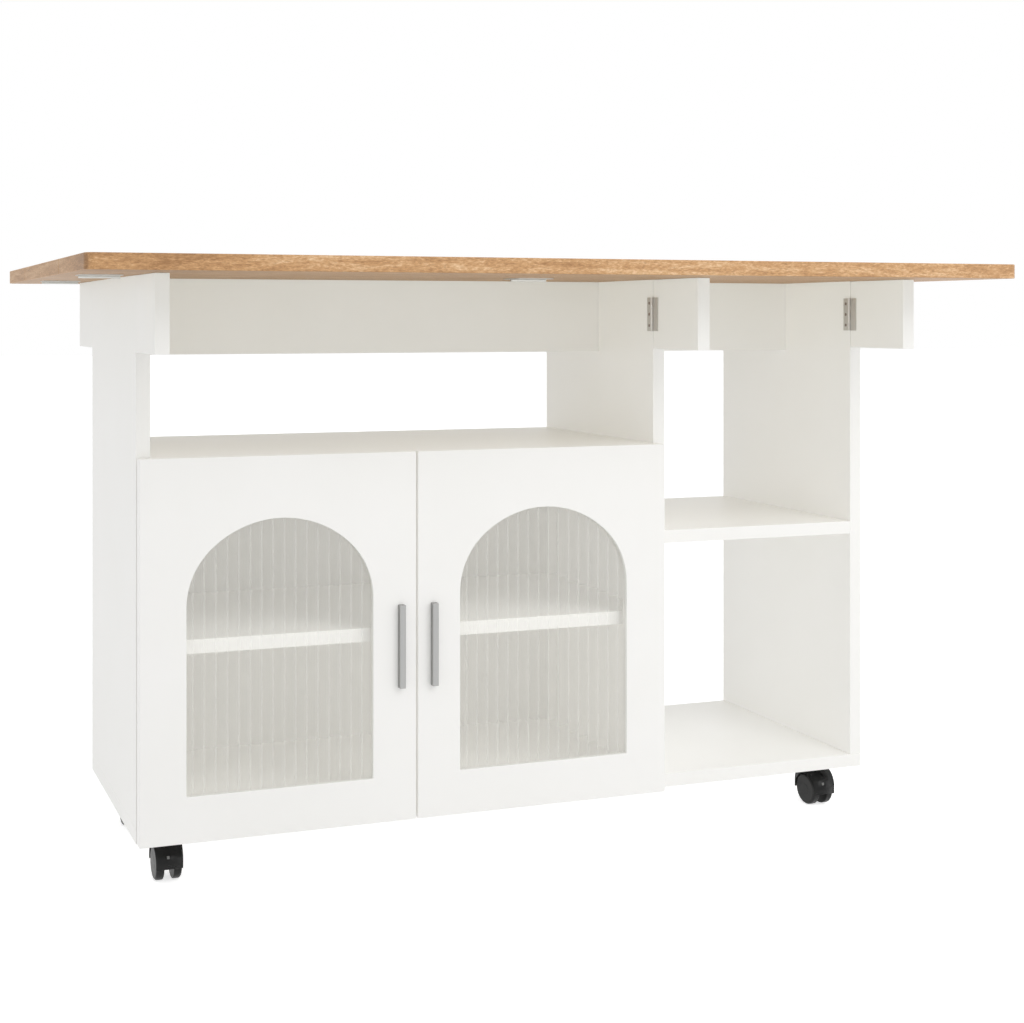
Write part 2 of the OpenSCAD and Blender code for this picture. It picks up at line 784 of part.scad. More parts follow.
// Side view of the hood, with the axle at the origin: a round fender over the wheels under a raised body
module hood_outline() {
    r = 5;
    top = hood_top - wheel_r;
    difference() {
        union() {
            hull() for (z = [0, hood_rise]) translate([0, z]) circle(r = wheel_r + hood_gap + hood_wall, $fn = 72);
            translate([-hood_front, 0]) square([hood_front + hood_back, top - r]);
            translate([-hood_front + r, 0]) square([hood_front + hood_back - 2 * r, top]);
            for (x = [-hood_front + r, hood_back - r]) translate([x, top - r]) circle(r = r);
        }
        translate([-2 * wheel_d, hood_low - wheel_r - wheel_d]) square([4 * wheel_d, wheel_d]);
    }
}

// Swivelling body of a caster with its hood, wheel wells, axle and stem bore
module caster_hood(index) {
    c = casters[index];
    color(black)
        translate([c[0], c[1] - caster_trail, wheel_r]) {
            difference() {
                union() {
                    rotate([90, 0, 90]) translate([0, 0, -hood_w / 2])
                        linear_extrude(height = hood_w) hood_outline();
                    rotate([90, 0, 90]) translate([0, 0, -web_w / 2])
                        linear_extrude(height = web_w)
                            intersection() {
                                circle(r = wheel_r - 1);
                                translate([-wheel_r, hood_low - wheel_r]) square([wheel_d, wheel_d]);
                            }
                }
                for (s = wheel_sides)
                    translate([s * (web_w / 2 + hood_w / 2), 0, 0])
                        rotate([0, 90, 0])
                            cylinder(r = wheel_r + hood_gap, h = hood_w, center = true);
                translate([0, caster_trail, hood_top + hood_play - stem_length - 1 - wheel_r])
                    cylinder(r = stem_r + turn, h = stem_length + 10);
                rotate([0, 90, 0]) cylinder(r = axle_r + fit, h = hood_w, center = true);
            }
            rotate([0, 90, 0]) cylinder(r = axle_r, h = hood_w - 4, center = true);
        }
}

// Caster wheel with a round edged tread and a dished outer face: side is -1 or 1
module caster_wheel(index, side) {
    c = casters[index];
    edge = 4;
    color(black)
        translate([c[0] + side * wheel_spacing / 2, c[1] - caster_trail, wheel_r])
            rotate([0, side * 90, 0])
                rotate_extrude($fn = 96)
                    difference() {
                        union() {
                            translate([axle_r + turn, 0]) square([wheel_r - edge - axle_r - turn, wheel_w]);
                            translate([axle_r + turn, 0]) square([wheel_r - axle_r - turn, wheel_w - edge]);
                            translate([wheel_r - edge, wheel_w - edge]) circle(r = edge);
                        }
                        translate([axle_r, wheel_w - 1.2]) square([wheel_r - edge - 3 - axle_r, 2]);
                    }
}

base_board();
panel(0);  // left_panel
panel(1);  // middle_panel
panel(2);  // right_panel
counter_board();
cabinet_back();
cabinet_shelf();
bay_shelf();
spine(left_in, mid_left, left_spine_dowels);  // left_spine
spine(mid_right, right_in, right_spine_dowels);  // right_spine
center_top();
shelf_pins();
dowels();
support_hinge_plates();
leaf_hinge_plates();
hinge_pins();
hinge_screws();
door_hinge_arms();
door_bumpers();
caster_plates();
caster_screws();
leaf(-1);  // front_leaf
leaf(1);  // back_leaf
leaf_hinges(-1);  // front_leaf_hinges
leaf_hinges(1);  // back_leaf_hinges
door(0);  // left_door
door(1);  // right_door
pane(0);  // left_glass
pane(1);  // right_glass
glass_beads(0);  // left_glass_beads
glass_beads(1);  // right_glass_beads
handle(0);  // left_handle
handle(1);  // right_handle
hinge_cups(0);  // left_hinge_cups
hinge_cups(1);  // right_hinge_cups
for (i = [0 : 5]) leaf_support(i);
for (i = [0 : 5]) support_hinge(i);
for (i = [0 : 3]) caster_hood(i);
for (i = [0 : 7]) caster_wheel(floor(i / 2), wheel_sides[i % 2]);
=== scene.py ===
"""A drop leaf kitchen island: white boards on twin wheel casters, arched doors with fluted glass, an oak worktop."""

import math

import bpy
import numpy as np
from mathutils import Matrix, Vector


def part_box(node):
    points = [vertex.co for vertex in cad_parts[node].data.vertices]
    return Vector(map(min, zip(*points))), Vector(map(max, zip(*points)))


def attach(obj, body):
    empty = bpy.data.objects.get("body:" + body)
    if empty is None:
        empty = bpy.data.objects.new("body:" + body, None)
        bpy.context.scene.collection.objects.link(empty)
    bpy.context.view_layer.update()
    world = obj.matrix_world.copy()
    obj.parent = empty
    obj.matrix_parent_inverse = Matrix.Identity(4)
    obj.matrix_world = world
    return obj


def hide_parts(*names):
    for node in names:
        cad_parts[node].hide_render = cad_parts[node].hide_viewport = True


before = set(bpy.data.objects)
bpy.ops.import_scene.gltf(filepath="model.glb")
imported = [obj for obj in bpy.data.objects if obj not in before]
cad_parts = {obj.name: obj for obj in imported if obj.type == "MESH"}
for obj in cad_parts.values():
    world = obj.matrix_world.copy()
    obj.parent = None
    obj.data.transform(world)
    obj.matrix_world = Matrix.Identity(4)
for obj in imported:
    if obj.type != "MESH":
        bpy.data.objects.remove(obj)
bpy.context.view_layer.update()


# Base board ----------------------------------------------------------------
# The long white board that the panels stand on, laminated, with its edges eased by a fraction of a millimetre.
# It is a closed outline carried through the board's thickness, drawn in at both faces.
def eased_outline(corners, radius, steps=4):
    """Closed line through the corners, given anticlockwise, with each turned on an arc. An arc starts
    radius * tan(turn / 2) before its corner, and its normal swings evenly from one side's to the next side's.
    Returns the points and their outward normals."""
    corners = np.asarray(corners, float)
    before = corners - np.roll(corners, 1, 0)
    before /= np.linalg.norm(before, axis=1)[:, None]
    after = np.roll(before, -1, 0)
    turn = np.arctan2(before[:, 0] * after[:, 1] - before[:, 1] * after[:, 0], (before * after).sum(1))
    radius = np.broadcast_to(np.asarray(radius, float), turn.shape)
    start_normal = np.stack([before[:, 1], -before[:, 0]], 1)
    side = np.sign(turn)
    start = corners - before * (radius * np.tan(np.abs(turn) / 2))[:, None]
    middle = start - start_normal * (side * radius)[:, None]
    start_angle = np.arctan2(start_normal[:, 1], start_normal[:, 0])
    angle = start_angle[:, None] + turn[:, None] * np.linspace(0, 1, steps + 1)
    normals = np.stack([np.cos(angle), np.sin(angle)], -1)
    points = middle[:, None] + normals * (side * radius)[:, None, None]
    return points.reshape(-1, 2), normals.reshape(-1, 2)


def skin(name, points, normals, wrap=False):
    """Mesh from rings of points: ring k joins ring k + 1 with four sided faces, and each ring closes on itself.
    With wrap the last ring joins the first, otherwise one flat face closes each end. A vertex keeps its normal."""
    rings, count = points.shape[:2]
    index = np.arange(rings * count).reshape(rings, count)
    lower = index if wrap else index[:-1]
    upper = np.roll(index, -1, 0) if wrap else index[1:]
    faces = np.stack([lower, np.roll(lower, -1, 1), np.roll(upper, -1, 1), upper], -1).reshape(-1, 4).tolist()
    if not wrap:
        faces += [index[0, ::-1].tolist(), index[-1].tolist()]
    mesh = bpy.data.meshes.new(name)
    mesh.from_pydata(points.reshape(-1, 3).tolist(), [], faces)
    mesh.polygons.foreach_set("use_smooth", np.ones(len(mesh.polygons), bool))
    normals = normals.reshape(-1, 3)
    mesh.normals_split_custom_set_from_vertices(normals / np.linalg.norm(normals, axis=1)[:, None])
    mesh.update()
    piece = bpy.data.objects.new(name, mesh)
    bpy.context.scene.collection.objects.link(piece)
    return piece


def cut_board(name, outline, low, high, ease=0.0008, axis=2):
    """A board whose outline lies square to the axis, between two heights. At each face the outline moves in by
    ease * (1 - cos t) while the height runs through ease * sin t, for t from the side to the face."""
    line, out = outline
    quarter = np.radians([0, 30, 60, 90])
    t = np.concatenate([-quarter[::-1], quarter])
    height = np.repeat([low + ease, high - ease], len(quarter)) + ease * np.sin(t)
    ring = line[None] - out[None] * (ease * (1 - np.cos(t)))[:, None, None]
    one_each = ring.shape[:2] + (1,)
    points = np.concatenate([ring, np.broadcast_to(height[:, None, None], one_each)], -1)
    normals = np.concatenate([out[None] * np.cos(t)[:, None, None],
                              np.broadcast_to(np.sin(t)[:, None, None], one_each)], -1)
    shift = (axis + 1) % 3
    return skin(name, np.roll(points, shift, -1), np.roll(normals, shift, -1))


def rectangle(low, high):
    """The four corners between the lowest and the highest, anticlockwise."""
    return [(low[0], low[1]), (high[0], low[1]), (high[0], high[1]), (low[0], high[1])]


def new_finish(name):
    """A material, its node tree, its shader, and the Object coordinates that its patterns lie on."""
    material = bpy.data.materials.new(name)
    material.use_nodes = True
    net = material.node_tree
    return material, net, net.nodes["Principled BSDF"], net.nodes.new("ShaderNodeTexCoord").outputs["Object"]


def noise(net, place, scale, detail=2, roughness=0.5, bend=0):
    """Cloudy noise about 0.5, with scale as its waves to the metre."""
    node = net.nodes.new("ShaderNodeTexNoise")
    for socket, level in (("Scale", scale), ("Detail", detail), ("Roughness", roughness), ("Distortion", bend)):
        node.inputs[socket].default_value = level
    net.links.new(place, node.inputs["Vector"])
    return node.outputs["Fac"]


def stretch(net, value, low, high, start=0, end=1):
    """The value moved evenly from the range start to end into the range low to high."""
    node = net.nodes.new("ShaderNodeMapRange")
    for socket, level in (("From Min", start), ("From Max", end), ("To Min", low), ("To Max", high)):
        node.inputs[socket].default_value = level
    net.links.new(value, node.inputs["Value"])
    return node.outputs["Result"]


def shade(net, value, stops):
    """The colour that the value picks between stops, each a place from 0 to 1 and its colour."""
    node = net.nodes.new("ShaderNodeValToRGB")
    ramp = node.color_ramp
    for element, (spot, colour) in zip(ramp.elements, (stops[0], stops[-1])):
        element.position, element.color = spot, (*colour, 1)
    for spot, colour in stops[1:-1]:
        ramp.elements.new(spot).color = (*colour, 1)
    net.links.new(value, node.inputs["Fac"])
    return node.outputs["Color"]


def relief(net, height, shader, strength, distance, sunk=False):
    """Fine relief from a height between 0 and 1, with distance as its depth in metres."""
    node = net.nodes.new("ShaderNodeBump")
    node.invert = sunk
    node.inputs["Strength"].default_value = strength
    node.inputs["Distance"].default_value = distance
    net.links.new(height, node.inputs["Height"])
    net.links.new(node.outputs["Normal"], shader.inputs["Normal"])


def laminate_finish(name, colour, rough):
    """Satin melamine over board: an even warm white, with a faint cloudiness and a very fine pressed texture."""
    material, net, shader, place = new_finish(name)
    duller = (colour[0] * 0.985, colour[1] * 0.985, colour[2] * 0.98)
    tint = shade(net, noise(net, place, 7, 3), ((0.3, duller), (0.7, colour)))
    grain = noise(net, place, 900)
    net.links.new(tint, shader.inputs["Base Color"])
    net.links.new(stretch(net, grain, rough - 0.04, rough + 0.04), shader.inputs["Roughness"])
    relief(net, grain, shader, 0.06, 0.0002)
    return material


white_laminate = laminate_finish("white_laminate", (0.948, 0.942, 0.921), 0.42)
board_edge_r = 0.001


def lay_board(node, body="cabinet"):
    """The eased board that stands for a square CAD board: its outline is the board's own box."""
    low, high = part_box(node)
    thin = int(np.argmin(np.array(high) - np.array(low)))
    first, second = (thin + 1) % 3, (thin + 2) % 3
    outline = eased_outline(rectangle((low[first], low[second]), (high[first], high[second])), board_edge_r)
    board = cut_board(node + "_piece", outline, low[thin], high[thin], axis=thin)
    board.data.materials.append(white_laminate)
    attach(board, body)
    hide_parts(node)


lay_board("base_board")

# Panels, counter, back sheet and shelves ------------------------------------
# Three standing panels, the counter over the doors, the thin sheet in its groove and the two shelves.
# They are cut from the same laminated board as the base, and are dowelled to each other.
for board in ("left_panel", "middle_panel", "right_panel", "counter_board", "cabinet_back", "cabinet_shelf",
              "bay_shelf", "left_spine", "right_spine"):
    lay_board(board)


# Dowels and shelf pins -------------------------------------------------------
# Beech dowels hold the boards together inside, and four steel pins carry the loose shelf.
# The solids stay as they are and only take their finish.
def metal_finish(name, colour, rough, brush=(1, 1, 1), depth=0.1):
    """Plated steel: the brush stretches a fine noise along the way it was rubbed, which sets gloss and relief."""
    material, net, shader, place = new_finish(name)
    shader.inputs["Metallic"].default_value = 1
    turn = net.nodes.new("ShaderNodeMapping")
    turn.inputs["Scale"].default_value = brush
    net.links.new(place, turn.inputs["Vector"])
    rub = noise(net, turn.outputs["Vector"], 700, 3)
    duller = (colour[0] * 0.9, colour[1] * 0.9, colour[2] * 0.9)
    net.links.new(shade(net, rub, ((0, duller), (1, colour))), shader.inputs["Base Color"])
    net.links.new(stretch(net, rub, rough - 0.08, rough + 0.08), shader.inputs["Roughness"])
    relief(net, rub, shader, depth, 0.0001)
    return material


def give_finish(node, material):
    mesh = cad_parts[node].data
    mesh.materials.clear()
    mesh.materials.append(material)


hinge_steel = metal_finish("hinge_steel", (0.68, 0.675, 0.645), 0.6)
give_finish("dowels", laminate_finish("beech_dowel", (0.72, 0.55, 0.36), 0.6))
give_finish("shelf_pins", hinge_steel)


# Worktop ---------------------------------------------------------------------
# A fixed middle board and two hinged leaves, all faced and edged in oak with the grain along the board.
# The leaves' outer corners are rounded, and the edge band on the two short ends runs across the board.
def from_ray(net, *kinds):
    """1 for a ray of one of the kinds, such as one straight from the camera, and 0 for any other ray."""
    path = net.nodes.new("ShaderNodeLightPath")
    share = path.outputs[kinds[0]]
    for kind in kinds[1:]:
        either = net.nodes.new("ShaderNodeMath")
        either.operation = "MAXIMUM"
        net.links.new(share, either.inputs[0])
        net.links.new(path.outputs[kind], either.inputs[1])
        share = either.outputs["Value"]
    return share


def oak_finish(name, along, tone=1.0):
    """Oak figure on Object coordinates. The grain runs along one axis: noise squeezed across it gives the light and
    dark streaks, a bent band wave the year rings, and finer noise the flecks and the open pores."""
    material, net, shader, place = new_finish(name)

    def grain(slow, squeeze):
        """Coordinates that run slow along the grain and squeeze times as fast across it and up."""
        mapping = net.nodes.new("ShaderNodeMapping")
        scale = [squeeze, squeeze, squeeze]
        scale[along] = slow
        mapping.inputs["Scale"].default_value = scale
        net.links.new(place, mapping.inputs["Vector"])
        return mapping.outputs["Vector"]

    def mixed(first, second, share):
        node = net.nodes.new("ShaderNodeMix")
        node.inputs["Factor"].default_value = share
        net.links.new(first, node.inputs["A"])
        net.links.new(second, node.inputs["B"])
        return node.outputs["Result"]

    def blended(first, colour, share):
        node = net.nodes.new("ShaderNodeMix")
        node.data_type = "RGBA"
        node.inputs["B"].default_value = (*colour, 1)
        net.links.new(share, node.inputs["Factor"])
        net.links.new(first, node.inputs["A"])
        return node.outputs["Result"]

    broad = noise(net, grain(1, 4), 3, 3, 0.55, 0.6)
    streak = noise(net, grain(1, 9), 16, 5, 0.66, 0.5)
    fleck = noise(net, grain(1, 3.6), 140, 3, 0.75, 0.4)
    pore = noise(net, grain(1, 7), 120, 2, 0.6, 0.2)
    rings = net.nodes.new("ShaderNodeTexWave")
    rings.wave_type = "BANDS"
    rings.bands_direction = "DIAGONAL"
    for socket, level in (("Scale", 3.2), ("Distortion", 9), ("Detail", 3), ("Detail Scale", 0.9)):
        rings.inputs[socket].default_value = level
    net.links.new(grain(0.35, 9), rings.inputs["Vector"])
    figure = mixed(mixed(streak, rings.outputs["Fac"], 0.12), broad, 0.24)
    figure = mixed(figure, fleck, 0.46)
    # a darker patch near the front left corner: up to 0.068 darker within 4 cm of one point, fading out by 20 cm
    corner_distance = net.nodes.new("ShaderNodeVectorMath")
    corner_distance.operation = "DISTANCE"
    corner_distance.inputs[1].default_value = (-0.66, -0.43, 0.9)
    net.links.new(place, corner_distance.inputs[0])
    darker = net.nodes.new("ShaderNodeMath")
    darker.operation = "SUBTRACT"
    net.links.new(figure, darker.inputs[0])
    net.links.new(stretch(net, corner_distance.outputs["Value"], 0.068, 0, 0.04, 0.2), darker.inputs[1])
    wood = shade(net, darker.outputs["Value"], ((0.37, (0.36 * tone, 0.18 * tone, 0.068 * tone)),
                                                (0.50, (0.60 * tone, 0.335 * tone, 0.148 * tone)),
                                                (0.64, (0.89 * tone, 0.63 * tone, 0.38 * tone))))
    pores = stretch(net, pore, 0, 0.45, 0.60, 0.70)
    wood = blended(wood, (0.25 * tone, 0.125 * tone, 0.055 * tone), pores)
    # for rays that carry bounced light the oak takes a paler, nearly neutral colour: painted light that keeps the glow
    # the top casts on the white boards below from turning orange
    wood = blended(wood, (0.80, 0.765, 0.67), from_ray(net, "Is Diffuse Ray"))
    net.links.new(wood, shader.inputs["Base Color"])
    net.links.new(stretch(net, fleck, 0.42, 0.6), shader.inputs["Roughness"])
    relief(net, pores, shader, 0.25, 0.0003, sunk=True)
    return material


# the wood of the upper face and long edges, of the band on the short ends, and of the underside, which is the same oak
# darkened as painted shade
oak_finishes = (oak_finish("oak_face", 0), oak_finish("oak_end_band", 1, 0.82), oak_finish("oak_underside_painted_shade", 0, 0.76))
joint_corner_r, leaf_corner_r, worktop_edge_r = 0.0013, 0.014, 0.0011


def lay_top(node, body, corner_radii):
    """A worktop board with its own radius at each corner. Faces that look along X take the end band's grain, and
    the underside a darker copy of the oak, which is painted shade."""
    low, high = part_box(node)
    outline = eased_outline(rectangle(low, high), corner_radii, 10)
    board = cut_board(node + "_piece", outline, low[2], high[2], worktop_edge_r)
    for finish in oak_finishes:
        board.data.materials.append(finish)
    facing = np.zeros(len(board.data.polygons) * 3)
    board.data.polygons.foreach_get("normal", facing)
    kind = np.where(np.abs(facing[0::3]) > 0.75, 1, np.where(facing[2::3] < -0.9, 2, 0))
    board.data.polygons.foreach_set("material_index", kind.astype(np.int32))
    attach(board, body)
    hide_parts(node)


lay_top("center_top", "cabinet", joint_corner_r)
lay_top("front_leaf", "front_leaf", (leaf_corner_r, leaf_corner_r, joint_corner_r, joint_corner_r))
lay_top("back_leaf", "back_leaf", (joint_corner_r, joint_corner_r, leaf_corner_r, leaf_corner_r))

# Butt hinges ------------------------------------------------------------------
# Pressed steel plates with rolled knuckles, a pin and three countersunk screws in each plate.
# Six lie under the joints of the leaves and six hold the swing-out supports.
for node in ("support_hinge_plates", "leaf_hinge_plates", "front_leaf_hinges", "back_leaf_hinges"):
    give_finish(node, hinge_steel)
bright_steel = metal_finish("bright_steel", (0.55, 0.55, 0.54), 0.25)
give_finish("hinge_pins", bright_steel)
give_finish("hinge_screws", metal_finish("screw_bronze", (0.27, 0.22, 0.19), 0.35))

# Leaf supports ------------------------------------------------------------------
# Six short boards that swing out in line with the panels and carry the raised leaves.
# Each turns on its own butt hinge, so it rides on its own body with the hinge's moving plate.
for place in ("front_left", "front_middle", "front_right", "back_left", "back_middle", "back_right"):
    lay_board("leaf_support_" + place, "support_" + place)
    give_finish("support_hinge_" + place, hinge_steel)

# Doors ----------------------------------------------------------------------------
# Two doors with an arched opening routed through them: a thin lip shows in front, and a square rebate behind takes
# the glass. Each is one closed profile of rings between three outlines: the door's edge, the arch and the rebate.
door_white = laminate_finish("door_white", (0.95, 0.944, 0.928), 0.36)
window_lip, rebate_side, window_side, window_low, window_high = 0.0055, 0.010, 0.069, 0.139, 0.535
door_corner_r, foot_corner_r, rebate_corner_r = 0.0015, 0.0015, 0.003
door_ease, lip_ease, ledge_ease = 0.0012, 0.0009, 0.0004
# the crown's radius is this much more than half the window's width, and the shoulders' this much less
crown_extra, shoulder_less = 0.0145, 0.0285


def arch_corners(half, foot, head):
    """Left foot, right foot, then the arch anticlockwise: shoulders of the smaller radius run from upright to where
    the line between the two centres cuts them, and the crown's larger radius joins them over the top."""
    crown_r, shoulder_r = half + crown_extra, half - shoulder_less
    crown_z = head - crown_r
    shoulder_z = crown_z + math.sqrt((crown_r - shoulder_r) ** 2 - shoulder_less ** 2)
    split = math.atan2(shoulder_z - crown_z, shoulder_less)
    right = np.linspace(0, split, 40)
    crown = np.linspace(split, math.pi - split, 60)[1:-1]
    left = np.linspace(math.pi - split, math.pi, 40)
    across = np.concatenate([shoulder_less + shoulder_r * np.cos(right), crown_r * np.cos(crown),
                             -shoulder_less + shoulder_r * np.cos(left)])
    up = np.concatenate([shoulder_z + shoulder_r * np.sin(right), crown_z + crown_r * np.sin(crown),
                         shoulder_z + shoulder_r * np.sin(left)])
    return np.concatenate([[(-half, foot), (half, foot)], np.stack([across, up], 1)])


def seen_from(centre, outline, angles):
    """The outline's points and normals where rays leave the centre at the angles: the line is sampled finely, each
    sample's angle is worked out, and points and normals are read off between samples."""
    line, out = outline
    fine = np.linspace(0, 1, 12, endpoint=False)[None, :, None]
    points = (line[:, None] * (1 - fine) + np.roll(line, -1, 0)[:, None] * fine).reshape(-1, 2)
    normals = (out[:, None] * (1 - fine) + np.roll(out, -1, 0)[:, None] * fine).reshape(-1, 2)
    angle = np.arctan2(points[:, 1] - centre[1], points[:, 0] - centre[0])
    order = np.argsort(angle)
    read = [np.interp(angles, angle[order], value[order], period=2 * math.pi)
            for value in (points[:, 0], points[:, 1], normals[:, 0], normals[:, 1])]
    return np.stack(read[:2], 1), np.stack(read[2:], 1)


def hang_door(side):
    """Six walls, each a quarter turn of rings at one outline, follow each other round the door's section: down the
    back edge, over the rebate, its ledge and the arch, and out to the front edge. Rays from the window's middle cut
    all three outlines at the same angles, so the rings match point by point."""
    low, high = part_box(side + "_door")
    middle = (low[0] + high[0]) / 2
    half = (high[0] - low[0]) / 2 - window_side
    centre = np.array([middle, (window_low + window_high) / 2])
    arch = arch_corners(half, window_low, window_high) + [middle, 0]
    # only the two feet of the arch are corners, and its other points already lie on arcs
    arch_radii = np.where(np.arange(len(arch)) < 2, foot_corner_r, 0.00001)
    outlines = {
        "edge": eased_outline(rectangle((low[0], low[2]), (high[0], high[2])), door_corner_r),
        "arch": eased_outline(arch, arch_radii),
        "rebate": eased_outline(rectangle((middle - half - rebate_side, window_low - rebate_side),
                                          (middle + half + rebate_side, window_high + rebate_side)), rebate_corner_r)}
    corner_points = np.concatenate([outlines["edge"][0], outlines["arch"][0][:10], outlines["rebate"][0]]) - centre
    angles = np.concatenate([np.linspace(-math.pi, math.pi, 180, endpoint=False),
                             np.arctan2(corner_points[:, 1], corner_points[:, 0])])
    angles = np.unique(np.round(angles, 6))
    back, face, ledge = high[1], low[1], low[1] + window_lip
    up, down = np.radians([0, 30, 60, 90]), np.radians([90, 60, 30, 0])
    # outline, whether the wall faces out (1) or into the opening (-1), ease, depth where the wall starts, angles,
    # and whether the ease is hollow
    profile = [("edge", 1, door_ease, back - door_ease, up, 1),
               ("rebate", -1, door_ease, back - door_ease, down, 1),
               ("rebate", -1, ledge_ease, ledge + ledge_ease, up, -1),
               ("arch", -1, ledge_ease, ledge - ledge_ease, down, 1),
               ("arch", -1, lip_ease, face + lip_ease, -up, 1),
               ("edge", 1, door_ease, face + door_ease, -down, 1)]
    rings, normals = [], []
    for key, way, ease, start, turn, swell in profile:
        line, out = seen_from(centre, outlines[key], angles)
        inset = (ease * (1 - np.cos(turn)))[:, None, None] * way * swell
        depth = start + swell * ease * np.sin(turn)
        flat = line[None] - out[None] * inset
        rings.append(np.stack([flat[..., 0], np.broadcast_to(depth[:, None], flat.shape[:2]), flat[..., 1]], -1))
        wall = out[None] * way * np.cos(turn)[:, None, None]
        lean = np.broadcast_to(np.sin(turn)[:, None], flat.shape[:2])
        normals.append(np.stack([wall[..., 0], lean, wall[..., 1]], -1))
    door = skin(side + "_door_piece", np.concatenate(rings)[::-1], np.concatenate(normals)[::-1], wrap=True)
    door.data.materials.append(door_white)
    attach(door, side + "_door")
    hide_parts(side + "_door")


for side in ("left", "right"):
    hang_door(side)


# Fluted glass -----------------------------------------------------------------------
# A clear pane behind each arch, flat at the back and pressed into upright ribs in front, held by four white beads.
# The ribs are arcs of one radius, side by side, and the section runs the full height of the pane.
def fluted_finish():
    """Clear glass for what looks through it, with a little milky scatter: an even faint haze that is also painted
    light brightening the view into the cabinet, and painted highlight lines in the valleys between the ribs and across
    each rib. Rays that only carry light to other surfaces pass straight through."""
    material, net, pane, _ = new_finish("fluted_glass")
    pane.inputs["Base Color"].default_value = (0.99, 0.98, 0.97, 1)
    pane.inputs["Roughness"].default_value = 0.03
    pane.inputs["IOR"].default_value = 1.5
    pane.inputs["Transmission Weight"].default_value = 1
    milk_and_painted_lines = net.nodes.new("ShaderNodeBsdfDiffuse")
    milk_and_painted_lines.inputs["Color"].default_value = (0.93, 0.915, 0.895, 1)
    clear = net.nodes.new("ShaderNodeBsdfTransparent")
    clear.inputs["Color"].default_value = (0.985, 0.99, 0.98, 1)
    rib = net.nodes.new("ShaderNodeAttribute")
    rib.attribute_name = "flute"
    # milky share across one rib, from the valley on its left to the valley on its right; the peaks at the valleys and
    # the small rises near 0.76 and 0.93 are painted highlight lines
    share = shade(net, stretch(net, rib.outputs["Fac"], 0, 1, start=-1),
                  [(spot, (level, level, level)) for spot, level in
                   ((0, 0.22), (0.08, 0.17), (0.16, 0.05), (0.30, 0.03), (0.62, 0.045), (0.76, 0.08), (0.84, 0.04),
                    (0.93, 0.08), (1, 0.22))])
    haze_and_painted_lines_mix = net.nodes.new("ShaderNodeMixShader")
    choose = net.nodes.new("ShaderNodeMixShader")
    net.links.new(share, haze_and_painted_lines_mix.inputs["Fac"])
    net.links.new(pane.outputs["BSDF"], haze_and_painted_lines_mix.inputs[1])
    net.links.new(milk_and_painted_lines.outputs["BSDF"], haze_and_painted_lines_mix.inputs[2])
    net.links.new(from_ray(net, "Is Shadow Ray", "Is Diffuse Ray"), choose.inputs["Fac"])
    net.links.new(haze_and_painted_lines_mix.outputs["Shader"], choose.inputs[1])
    net.links.new(clear.outputs["BSDF"], choose.inputs[2])
    net.links.new(choose.outputs["Shader"], net.nodes["Material Output"].inputs["Surface"])
    return material


fluted_glass = fluted_finish()
flutes, flute_pitch, flute_depth, pane_corner = 17, 0.0173, 0.0003, 0.0003
# how far the middle rib lies from the middle of its pane
rib_shift = {"left": -0.0037, "right": -0.0006}


def press_pane(side):
    """The section is one line round the pane, seen from above: ribs across the front, then the sides and the back.
    A rib's depth is radius - sqrt(radius^2 - offset^2) from its crest, and its normal leans by offset / radius."""
    low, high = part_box(side + "_glass")
    radius = (flute_pitch ** 2 / 4 + flute_depth ** 2) / (2 * flute_depth)
    offset = np.linspace(-0.497, 0.497, 9) * flute_pitch
    crest = (low[0] + high[0]) / 2 + rib_shift[side] + (np.arange(flutes) - (flutes - 1) / 2) * flute_pitch
    across = (crest[:, None] + offset).ravel()
    depth = np.tile(low[1] + radius - np.sqrt(radius ** 2 - offset ** 2), flutes)
    lean = np.tile(offset / radius, flutes)
    valley = low[1] + flute_depth
    round_back = [(high[0] - pane_corner, valley), (high[0], valley + pane_corner), (high[0], high[1] - pane_corner),
                  (high[0] - pane_corner, high[1]), (low[0] + pane_corner, high[1]), (low[0], high[1] - pane_corner),
                  (low[0], valley + pane_corner), (low[0] + pane_corner, valley)]
    facing = [(0, -1), (1, 0), (1, 0), (0, 1), (0, 1), (-1, 0), (-1, 0), (0, -1)]
    section = np.concatenate([np.stack([across, depth], 1), round_back])
    out = np.concatenate([np.stack([lean, -np.sqrt(1 - lean ** 2)], 1), facing])
    pane = cut_board(side + "_glass_piece", (section, out), low[2], high[2], 0.0002)
    # where each point lies across its rib, from -1 to 1, for the milky share
    place = np.concatenate([np.tile(np.linspace(-1, 1, 9), flutes), np.zeros(8)])
    flute = pane.data.attributes.new("flute", "FLOAT", "POINT")
    flute.data.foreach_set("value", np.tile(place, len(pane.data.vertices) // len(place)))
    pane.data.materials.append(fluted_glass)
    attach(pane, side + "_door")
    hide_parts(side + "_glass")


for side in ("left", "right"):
    press_pane(side)
    give_finish(side + "_glass_beads", door_white)

# Handles --------------------------------------------------------------------------------
# Solid square bars in satin nickel that lie flat on the doors, each held by two screws through the door.
# The bar's section is carried across its width, with every edge eased.
satin_nickel = metal_finish("satin_nickel", (0.37, 0.37, 0.365), 0.36, (1, 1, 0.04), 0.15)
handle_edge_r = 0.0009


def fit_handle(side):
    low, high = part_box(side + "_handle")
    door_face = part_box(side + "_door")[0][1]
    # the outline lies in Y and Z, and the screws behind the door's face stay in the hidden solid
    outline = eased_outline(rectangle((low[1], low[2]), (door_face, high[2])), handle_edge_r)
    bar = cut_board(side + "_handle_piece", outline, low[0], high[0], handle_edge_r, axis=0)
    bar.data.materials.append(satin_nickel)
    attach(bar, side + "_door")
    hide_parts(side + "_handle")


for side in ("left", "right"):
    fit_handle(side)

